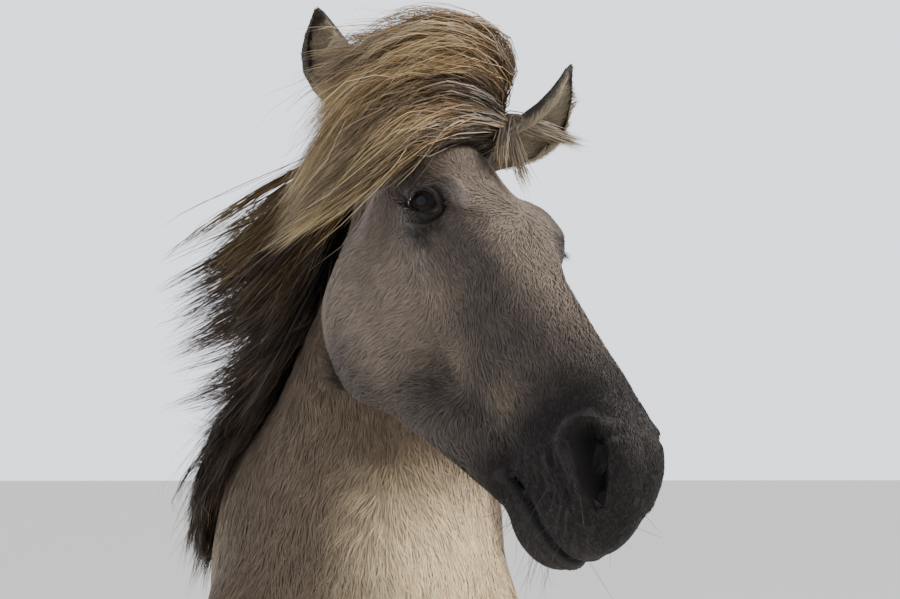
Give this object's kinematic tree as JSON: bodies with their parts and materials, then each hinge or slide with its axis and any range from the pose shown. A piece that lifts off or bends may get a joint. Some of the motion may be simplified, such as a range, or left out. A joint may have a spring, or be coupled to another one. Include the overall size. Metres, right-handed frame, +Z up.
{
  "type": "icelandic horse figure",
  "caption": "Life-size standing horse with its head raised and turned to its left, long wind-blown mane and forelock, and a full tail.",
  "frame": {"origin": "on the floor under the middle of the whole horse's bounding box", "axes": "+Z up, the horse faces -Y, its left side is +X"},
  "size_m": [0.615, 2.0776, 1.8099],
  "materials": {
    "coat": "long mouse-dun winter hair, dull",
    "horn": "dark hoof horn, faintly ringed",
    "eye": "wet, dark and glossy"
  },
  "bodies": {
    "root": {"torso": "coat", "neck": "coat", "head": "coat", "ear_left": "coat", "ear_right": "coat", "eye_left": "eye", "eye_right": "eye", "foreleg_left": "coat", "foreleg_right": "coat", "hindleg_left": "coat", "hindleg_right": "coat", "forehoof_left": "horn", "forehoof_right": "horn", "hindhoof_left": "horn", "hindhoof_right": "horn", "tail": "coat"}
  },
  "joints": []
}
